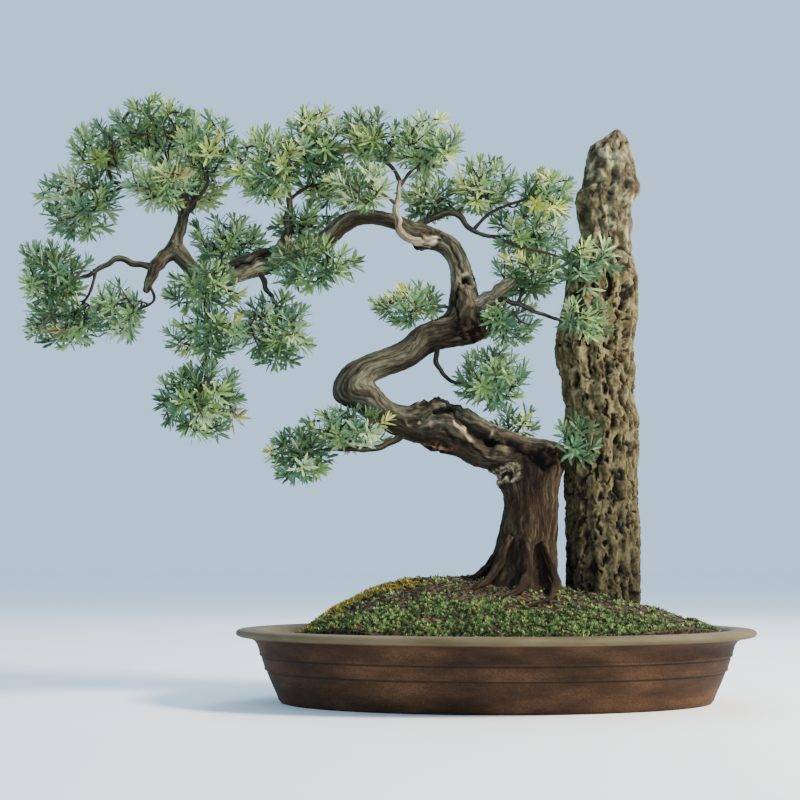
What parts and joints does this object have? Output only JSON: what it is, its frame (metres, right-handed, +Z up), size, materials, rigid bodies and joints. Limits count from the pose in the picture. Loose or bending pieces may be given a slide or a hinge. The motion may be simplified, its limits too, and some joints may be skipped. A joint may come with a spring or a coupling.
{
  "type": "potted podocarpus bonsai",
  "caption": "Podocarpus bonsai with a zigzag trunk and a long cascading limb, on a mossy mound beside a standing stone in an oval unglazed pot.",
  "frame": {"origin": "centre of the pot's flat underside, on the surface that the pot stands on", "axes": "+X to the right along the pot's length, +Y to the back across its width, +Z up; the long limb cascades to -X and the stone stands at +X"},
  "size_m": [1.2416, 0.56, 1.0414],
  "materials": {
    "stoneware": "matte",
    "moss_soil": "matte",
    "stone": "matte",
    "bark": "matte",
    "driftwood": "matte",
    "leaf": "satin"
  },
  "bodies": {
    "root": {"dead_branch": "driftwood", "dome_bough": "bark", "dome_left_bough": "bark", "drop_bough": "bark", "east_bough": "bark", "fork_stub": "bark", "leaves_arch_front": "leaf", "leaves_arch_right": "leaf", "leaves_arch_top": "leaf", "leaves_arch_under": "leaf", "leaves_behind": "leaf", "leaves_bridge": "leaf", "leaves_dome_back": "leaf", "leaves_dome_edge": "leaf", "leaves_dome_front": "leaf", "leaves_dome_left": "leaf", "leaves_dome_peak": "leaf", "leaves_dome_right": "leaf", "leaves_drop": "leaf", "leaves_east_high": "leaf", "leaves_east_low": "leaf", "leaves_east_mid": "leaf", "leaves_east_top": "leaf", "leaves_east_under": "leaf", "leaves_knuckle": "leaf", "leaves_limb_back": "leaf", "leaves_limb_front": "leaf", "leaves_low_mid": "leaf", "leaves_low_tip": "leaf", "leaves_pendant": "leaf", "leaves_riser_back": "leaf", "leaves_riser_foot": "leaf", "leaves_riser_left": "leaf", "leaves_riser_top": "leaf", "leaves_sling": "leaf", "leaves_sprout": "leaf", "leaves_stone_high": "leaf", "leaves_stone_low": "leaf", "leaves_tip_lower": "leaf", "leaves_tip_upper": "leaf", "leaves_weep_heart": "leaf", "leaves_weep_low": "leaf", "left_bough": "bark", "low_bough": "bark", "mossy_mound": "moss_soil", "pale_bough": "driftwood", "pot": "stoneware", "riser_bough": "bark", "small_drop": "bark", "stone": "stone", "stump": "bark", "thin_bough": "bark", "trunk_arch": "bark", "trunk_foot": "bark", "trunk_reach": "bark", "trunk_return": "bark", "trunk_rise": "bark", "weep_bough": "bark"}
  },
  "joints": []
}
